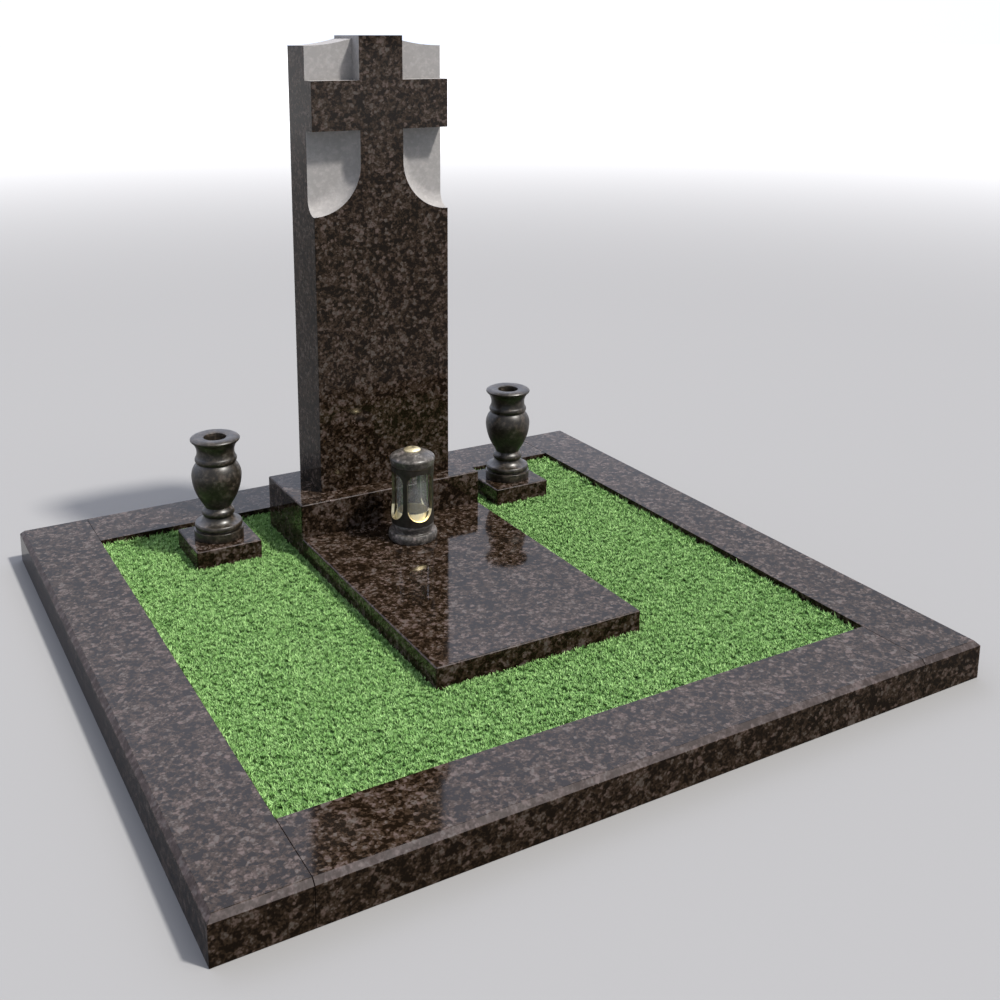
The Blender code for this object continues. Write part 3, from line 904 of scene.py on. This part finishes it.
@dataclass
class Vases:
    """Two turned vases with moulded feet, bored from the top."""

    finishes: Finishes
    foot: Run = Run(0.0725, 0.026)
    quirk: Run = Run(0.0650, 0.003)
    torus: Run = Run(0.0670, 0.017, 0.40)
    scotia: Run = Run(0.0425, 0.019, -0.30)
    ring: Run = Run(0.0425, 0.022, 0.50)
    waist: Run = Run(0.0385, 0.006)
    cup: Run = Run(0.0445, 0.012)
    belly: Run = Run(0.0730, 0.079, 0.133)
    shoulder: Run = Run(0.0575, 0.0455, 0.22)
    groove: Run = Run(0.0575, 0.002)
    bead: Run = Run(0.0575, 0.0185, 0.44)
    neck: Run = Run(0.0705, 0.0475, -0.317)
    edge: Run = Run(0.0725, 0.006, 0.20)
    crown: Run = Run(0.0560, 0.007, 0.22)
    mouth: Run = Run(0.0330, -0.004, 0.10)
    bore: Run = Run(0.0330, -0.181)
    ease: float = 0.0008
    steps: int = 128

    def runs(self) -> tuple[Run, ...]:
        """Return the profile's stretches from the foot up and down the bore."""
        return (
            Run(self.foot.radius), self.foot, Run(self.quirk.radius), self.quirk,
            Run(self.torus.radius), self.torus, self.scotia, self.ring, self.waist, self.cup,
            self.belly, self.shoulder, self.groove, self.bead, self.neck, self.edge,
            self.crown, self.mouth, self.bore, Run(0.0),
        )

    def build(self) -> None:
        """Turn both vases and set each on its base."""
        for side in Side:
            node = f"vase_{side.name.lower()}"
            mesh = smooth(turned_mesh(node, profile(self.runs()), self.steps, ease=self.ease))
            mesh.transform(Matrix.Translation(axis_of(node)))
            dress(mesh, self.finishes.turned)
            add_piece(f"{node}_stone", mesh, node)


@dataclass
class Lantern:
    """The grave lantern: granite base and cap, black windowed body, brass and glass."""

    finishes: Finishes
    turn: float = math.radians(-2.0)
    steps: int = 144
    base: tuple[Run, ...] = (
        Run(0.0690), Run(0.0690, 0.027, 0.28), Run(0.0570), Run(0.0600, 0.0125, -0.10),
        Run(0.0600, 0.0125, 0.30), Run(0.0),
    )
    cap: tuple[Run, ...] = (
        Run(0.0610), Run(0.0665, 0.022, 0.10), Run(0.0605, 0.007, 0.20),
        Run(0.0250, 0.0135, 0.12), Run(0.0),
    )
    knob: tuple[Run, ...] = (Run(0.0250), Run(0.0250, 0.003), Run(0.0, 0.006, 0.18))
    body_radius: float = 0.0630
    body_height: float = 0.175
    wall: float = 0.008
    floor: float = 0.004
    windows: int = 4
    window_half_angle: float = math.radians(39.0)
    window_sill: float = 0.016
    window_height: float = 0.145
    foot_rise: float = 0.044
    head_rise: float = 0.028
    foot_slope: float = -0.25
    collar: tuple[Run, ...] = (
        Run(0.0430, 0.031), Run(0.0480), Run(0.0545, -0.022), Run(0.0545, -0.009),
    )
    collar_bore: float = 0.0430
    glass: tuple[Run, ...] = (Run(0.0445, 0.132), Run(0.0470), Run(0.0470, -0.132))
    glass_bore: float = 0.0445
    window_steps: int = 40
    ease: float = 0.0010

    def place(self, mesh: Mesh, node: str) -> None:
        """Turn a mesh with the lantern and stand it where its node is."""
        axis = axis_of("lantern_base")
        spot = Vector((axis.x, axis.y, axis_of(node).z))
        mesh.transform(Matrix.Translation(spot) @ Matrix.Rotation(self.turn, 4, "Z"))

    def window_outline(self) -> list[Point]:
        """Return a window: upright sides, a deep round foot and a flatter head."""
        half = self.body_radius * math.tan(self.window_half_angle)
        foot = (-1.0, self.window_sill + self.foot_rise, self.foot_rise)
        head = (1.0, self.window_sill + self.window_height - self.head_rise, self.head_rise)
        points = []
        for sign, level, rise in (foot, head):
            for i in range(self.window_steps + 1):
                turn = math.pi * i / self.window_steps
                across = sign * half * math.cos(turn)
                points.append((across, level + sign * rise * math.sin(turn)))
        return points

    def window_cutter(self, number: int) -> Mesh:
        """Return the cutter for one window, narrowing towards the lantern's axis."""
        mesh = plate_mesh("window", self.window_outline(), self.body_radius)
        for vert in mesh.vertices:
            vert.co.y -= self.body_radius
            vert.co.x *= -vert.co.y / self.body_radius
        for polygon in mesh.polygons:
            # The reveal's faces at the window's foot take the bright brass; the rest take the dark
            # brass that paints shade.
            below = polygon.normal.z < self.foot_slope
            polygon.material_index = (Layer.CUT if below else Layer.LINING).value
        mesh.transform(Matrix.Rotation(math.tau * number / self.windows, 4, "Z"))
        return mesh

    def body_mesh(self) -> Mesh:
        """Return the windowed tube: black outside, dark brass inside and on the window reveals as
        painted shade, bright at the windows' feet.
        """
        inner = self.body_radius - self.wall
        runs = (
            Run(self.body_radius), Run(self.body_radius, self.body_height), Run(inner),
            Run(inner, self.floor - self.body_height), Run(0.0),
        )
        mesh = turned_mesh("lantern_body", profile(runs), self.steps)
        middle = (self.body_radius + inner) / 2
        for polygon in mesh.polygons:
            inside = polygon.center.xy.length < middle and polygon.center.z > self.floor / 2
            polygon.material_index = (Layer.LINING if inside else Layer.OUTER).value
        made = (self.finishes.bronze, self.finishes.brass, self.finishes.shaded_brass)
        cutters = [dress(self.window_cutter(i), *made) for i in range(self.windows)]
        return carve(dress(mesh, *made), cutters)

    def build(self) -> None:
        """Make every piece from the base to the knob."""
        made = self.finishes
        base = turned_mesh("base", profile(self.base), self.steps, ease=self.ease)
        cap = turned_mesh("cap", profile(self.cap), self.steps, ease=self.ease)
        knob = turned_mesh("knob", profile(self.knob), self.steps)
        collar = turned_mesh("collar", profile(self.collar, self.collar_bore), self.steps, True)
        glass = turned_mesh("glass", profile(self.glass, self.glass_bore), self.steps, True)
        pieces = (
            ("lantern_base", dress(base, made.lantern_stone), Slot.GRANITE),
            ("lantern_body", self.body_mesh(), Slot.BRONZE),
            ("lantern_collar", dress(collar, made.brass), Slot.BRASS),
            ("lantern_glass", dress(glass, made.glass), Slot.GLASS),
            ("lantern_cap", dress(cap, made.lantern_stone), Slot.GRANITE),
            ("lantern_knob", dress(knob, made.brass), Slot.BRASS),
        )
        for node, mesh, slot in pieces:
            self.place(smooth(mesh), node)
            add_piece(f"{node}_fine", mesh, node)


class Draw(Enum):
    """What is added to the lawn's seed, so that each use draws its own numbers."""

    TONE = 3
    LEAN_X = 10
    LEAN_Y = 11
    FACING = 12
    LENGTH = 20


@dataclass
class Lawn:
    """Short turf between the stones, scattered by geometry nodes."""

    finishes: Finishes
    blade_height: float = 0.013
    blade_width: float = 0.0026
    blade_bend: float = 0.0060
    waist_height: float = 0.6
    waist_bend: float = 0.25
    tuft_blades: int = 6
    tuft_radius: float = 0.0015
    tuft_stagger: float = 0.3
    tuft_fall: float = 0.4
    density: float = 27000.0
    shortest: float = 0.60
    tallest: float = 1.15
    lean: float = 0.45
    fringe_reach: float = 0.022
    fringe_gain: float = 0.75
    edge_gap: float = 0.0015
    seed: int = 7
    seed_step: int = 100

    def __post_init__(self) -> None:
        """Take the lawn's outline and the stones that stand in it from the frame."""
        self.low, self.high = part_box("turf_bed")
        self.blocks = [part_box(node) for node in SLABS]

    def free(self, x: float, y: float) -> bool:
        """Tell whether a point is clear of every stone in the lawn."""
        return not any(a.x < x < b.x and a.y < y < b.y for a, b in self.blocks)

    def plot(self, name: str, west: float, east: float, south: float, north: float) -> Mesh:
        """Return the free ground in a rectangle as flat cells.

        Args:
            name: The mesh's name.
            west: Its least x.
            east: Its greatest x.
            south: Its least y.
            north: Its greatest y.

        Returns:
            The cells at the height of the bed, split along the stones' sides.
        """
        xs = {west, east} | {v for a, b in self.blocks for v in (a.x, b.x) if west < v < east}
        ys = {south, north} | {v for a, b in self.blocks for v in (a.y, b.y) if south < v < north}
        xs, ys = sorted(xs), sorted(ys)
        shape = bmesh.new()
        for x0, x1 in zip(xs, xs[1:]):
            for y0, y1 in zip(ys, ys[1:]):
                if self.free((x0 + x1) / 2, (y0 + y1) / 2):
                    corners = ((x0, y0), (x1, y0), (x1, y1), (x0, y1))
                    shape.faces.new([shape.verts.new((x, y, self.high.z)) for x, y in corners])
        return mesh_from(shape, name)

    def tuft(self) -> Object:
        """Return one tuft: tapered blades that bend outward in a ring, each of its own height."""
        half, root, count = self.blade_width / 2, self.tuft_radius, self.tuft_blades
        shape = bmesh.new()
        for i in range(count):
            tall = self.blade_height * (1.0 - self.tuft_fall * (i * 2 % count) / count)
            rows = (
                (half, root, 0.0),
                (half, root + self.blade_bend * self.waist_bend, tall * self.waist_height),
                (0.0, root + self.blade_bend, tall),
            )
            turn = Matrix.Rotation(math.tau * (i + self.tuft_stagger * (i % 2)) / count, 3, "Z")
            (left, right), (left_waist, right_waist), (tip, _) = (
                [turn @ Vector((x, out, up)) for x in (-wide, wide)] for wide, out, up in rows
            )
            verts = [shape.verts.new(p) for p in (left, right, right_waist, left_waist, tip)]
            shape.faces.new(verts[:4])
            shape.faces.new(verts[:1:-1])
        return show("tuft", mesh_from(shape, "tuft"))

    def tree(self) -> NodeTree:
        """Return the node group that scatters blades over a surface.

        Returns:
            A group whose inputs are named for what they set.
        """
        tree = bpy.data.node_groups.new("scatter_tufts", "GeometryNodeTree")
        sockets = (
            ("Ground", "Geometry"), ("Tuft", "Object"), ("Density", "Float"), ("Seed", "Int"),
            ("Shortest", "Float"), ("Tallest", "Float"), ("Lean", "Float"),
            ("Half Width", "Float"), ("Half Depth", "Float"), ("Fringe Reach", "Float"),
            ("Fringe Gain", "Float"), ("Material", "Material"),
        )
        for name, kind in sockets:
            tree.interface.new_socket(name, in_out="INPUT", socket_type=f"NodeSocket{kind}")
        tree.interface.new_socket("Lawn", in_out="OUTPUT", socket_type="NodeSocketGeometry")
        graph = NodeGraph(tree)
        source = tree.nodes.new("NodeGroupInput")
        given = {name: Channel(graph, source.outputs[name]) for name, _ in sockets}
        points = graph.node(
            "GeometryNodeDistributePointsOnFaces",
            {"Mesh": given["Ground"], "Density": given["Density"], "Seed": given["Seed"]},
            "Points",
        )
        tuft = graph.node("GeometryNodeObjectInfo", {"Object": given["Tuft"]}, "Geometry")
        inputs = {
            "Points": points, "Instance": tuft,
            "Rotation": self.rotation(graph, given), "Scale": self.scale(graph, given),
        }
        instances = graph.node("GeometryNodeInstanceOnPoints", inputs, "Instances")
        tone = self.random(given, Draw.TONE, 0.0, 1.0)
        inputs = {"Geometry": instances, "Name": "tone", "Value": tone}
        toned = graph.node(
            "GeometryNodeStoreNamedAttribute", inputs, "Geometry",
            data_type="FLOAT", domain="INSTANCE",
        )
        real = graph.node("GeometryNodeRealizeInstances", {"Geometry": toned}, "Geometry")
        inputs = {"Geometry": real, "Material": given["Material"]}
        dressed = graph.node("GeometryNodeSetMaterial", inputs, "Geometry")
        sink = tree.nodes.new("NodeGroupOutput")
        graph.feed(sink.inputs["Lawn"], dressed)
        return tree

    def random(self, given: dict, draw: Draw, low: Operand, high: Operand) -> Channel:
        """Return a random number for each blade.

        Args:
            given: The group's inputs.
            draw: What the number is for.
            low: The least value.
            high: The greatest value.

        Returns:
            The number.
        """
        seed = given["Seed"] + float(draw.value)
        inputs = {"Min": low, "Max": high, "Seed": seed}
        return seed.graph.node("FunctionNodeRandomValue", inputs, "Value", data_type="FLOAT")

    def rotation(self, graph: NodeGraph, given: dict) -> Channel:
        """Return each blade's lean and facing as an Euler rotation."""
        lean = given["Lean"]
        turns = {
            "X": self.random(given, Draw.LEAN_X, lean * -1.0, lean),
            "Y": self.random(given, Draw.LEAN_Y, lean * -1.0, lean),
            "Z": self.random(given, Draw.FACING, 0.0, math.tau),
        }
        return graph.node("ShaderNodeCombineXYZ", turns, "Vector")

    def scale(self, graph: NodeGraph, given: dict) -> Channel:
        """Return each blade's size: it grows longer in a fringe along the kerb."""
        position = graph.node("GeometryNodeInputPosition", {}, "Position")
        from_sides = given["Half Width"] - graph.part(position, "X").size()
        from_ends = given["Half Depth"] - graph.part(position, "Y").size()
        near = (1.0 - from_sides.least(from_ends) / given["Fringe Reach"]).rise(0.0, 1.0)
        length = self.random(given, Draw.LENGTH, given["Shortest"], given["Tallest"])
        size = length * (1.0 + near * given["Fringe Gain"])
        return graph.node("ShaderNodeCombineXYZ", {"X": 1.0, "Y": size, "Z": size}, "Vector")

    def scatter(self, name: str, ground: Mesh, tree: NodeTree, values: dict) -> None:
        """Grow blades on one stretch of ground and add them as a plain mesh.

        Args:
            name: The piece's name.
            ground: Where the blades stand.
            tree: The scattering node group.
            values: What the group's inputs are set to, by name.
        """
        holder = show("ground", ground)
        modifier = holder.modifiers.new("grass", "NODES")
        modifier.node_group = tree
        for item in tree.interface.items_tree:
            if item.name in values:
                modifier[item.identifier] = values[item.name]
        add_piece(name, settle(holder))

    def build(self) -> None:
        """Dress the bed and grow the lawn in five stretches."""
        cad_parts["turf_bed"].material_slots[0].material = self.finishes.thatch
        left, right = (corner.x for corner in self.blocks[0])
        gap = self.edge_gap
        west, east = self.low.x + gap, self.high.x - gap
        south, north = self.low.y + gap, self.high.y - gap
        middle = (self.low.y + self.high.y) / 2
        stretches = {
            "grass_front_left": (west, left, south, middle),
            "grass_back_left": (west, left, middle, north),
            "grass_middle": (left, right, south, north),
            "grass_front_right": (right, east, south, middle),
            "grass_back_right": (right, east, middle, north),
        }
        grass = Grass("grass", self.high.z, self.high.z + self.blade_height)
        tree, tuft = self.tree(), self.tuft()
        values = {
            "Tuft": tuft, "Density": self.density, "Shortest": self.shortest,
            "Tallest": self.tallest, "Lean": self.lean, "Half Width": self.high.x,
            "Half Depth": self.high.y, "Fringe Reach": self.fringe_reach,
            "Fringe Gain": self.fringe_gain, "Material": grass.material(),
        }
        for number, (name, sides) in enumerate(stretches.items()):
            values["Seed"] = self.seed + self.seed_step * number
            self.scatter(name, self.plot(name, *sides), tree, values)
        bpy.data.objects.remove(tuft, do_unlink=True)


@dataclass
class Studio:
    """The pale floor, the soft light and the camera at the photograph's view."""

    floor_half: float = 200.0
    floor_drop: float = 0.0005
    to_sun: tuple[float, float, float] = (0.78, -0.93, 1.90)
    sun_strength: float = 5.9
    sun_angle: float = math.radians(5.0)
    sun_color: Color = (1.0, 0.965, 0.92)
    high_sky: Color = (0.75, 0.79, 0.90)
    front_sky: Color = (0.51, 0.555, 0.65)
    low_sky: Color = (1.02, 1.10, 1.32)
    back_sky: Color = (2.35, 2.45, 2.95)
    glow: Color = (3.6, 3.45, 3.2)
    glow_edge: Band = (0.90, 0.995)
    turn_band: Band = (-0.5, 0.8)
    low_band: Band = (0.38, 0.58)
    high_band: Band = (0.70, 0.97)
    eye: tuple[float, float, float] = (-1.4788, -2.7148, 1.5859)
    yaw: float = math.radians(29.0069)
    pitch: float = math.radians(12.4504)
    lens: float = 42.91
    sensor: float = 36.0
    shift: Point = (0.04, -0.2)

    def add_floor(self) -> None:
        """Lay a wide plain floor just under the memorial."""
        shape = bmesh.new()
        bmesh.ops.create_grid(shape, x_segments=1, y_segments=1, size=self.floor_half)
        bmesh.ops.translate(shape, vec=(0.0, 0.0, -self.floor_drop), verts=shape.verts)
        mesh = dress(mesh_from(shape, "floor"), PaleFloor("pale floor").material())
        show("floor", mesh)

    def add_sky(self) -> None:
        """Light everything from a cool sky that is brightest low down behind the memorial."""
        world = bpy.data.worlds.new("studio")
        world.use_nodes = True
        graph = NodeGraph(world.node_tree)
        toward = graph.node("ShaderNodeTexCoord", {}, "Generated")
        depth, height = graph.part(toward, "Y"), graph.part(toward, "Z")
        behind = graph.mix(height.rise(*self.low_band), self.low_sky, self.back_sky)
        around = graph.mix(depth.rise(*self.turn_band), self.front_sky, behind)
        sky = graph.mix(height.rise(*self.high_band), around, self.high_sky)
        sun = Vector(self.to_sun).normalized()
        near_sun = graph.vector("DOT_PRODUCT", toward, sun, output="Value")
        lit = graph.mix(near_sun.rise(*self.glow_edge), sky, self.glow)
        graph.feed(world.node_tree.nodes["Background"].inputs["Color"], lit)
        bpy.context.scene.world = world

    def add_sun(self) -> None:
        """Add the soft key light, from the front right and high up."""
        light = bpy.data.lights.new("key", "SUN")
        light.energy = self.sun_strength
        light.angle = self.sun_angle
        light.color = self.sun_color
        turn = Vector(self.to_sun).to_track_quat("Z", "Y").to_euler()
        show("key", light).rotation_euler = turn

    def add_camera(self) -> None:
        """Set the camera where the photograph was taken."""
        data = bpy.data.cameras.new("camera")
        data.lens = self.lens
        data.sensor_width = self.sensor
        data.shift_x, data.shift_y = self.shift
        item = show("camera", data)
        item.location = self.eye
        item.rotation_euler = Euler((math.pi / 2 - self.pitch, 0.0, -self.yaw))
        bpy.context.scene.camera = item

    def build(self) -> None:
        """Set up the floor, the light and the camera."""
        bpy.context.scene.view_settings.view_transform = "Standard"
        self.add_floor()
        self.add_sky()
        self.add_sun()
        self.add_camera()


def main() -> None:
    """Build the memorial and its studio in order."""
    logging.basicConfig(level=logging.INFO, format="%(name)s: %(message)s")
    Studio().build()
    finishes = Finishes.make()
    for assembly in (Stones, Stele, Vases, Lantern, Lawn):
        assembly(finishes).build()


if __name__ == "__main__":
    main()
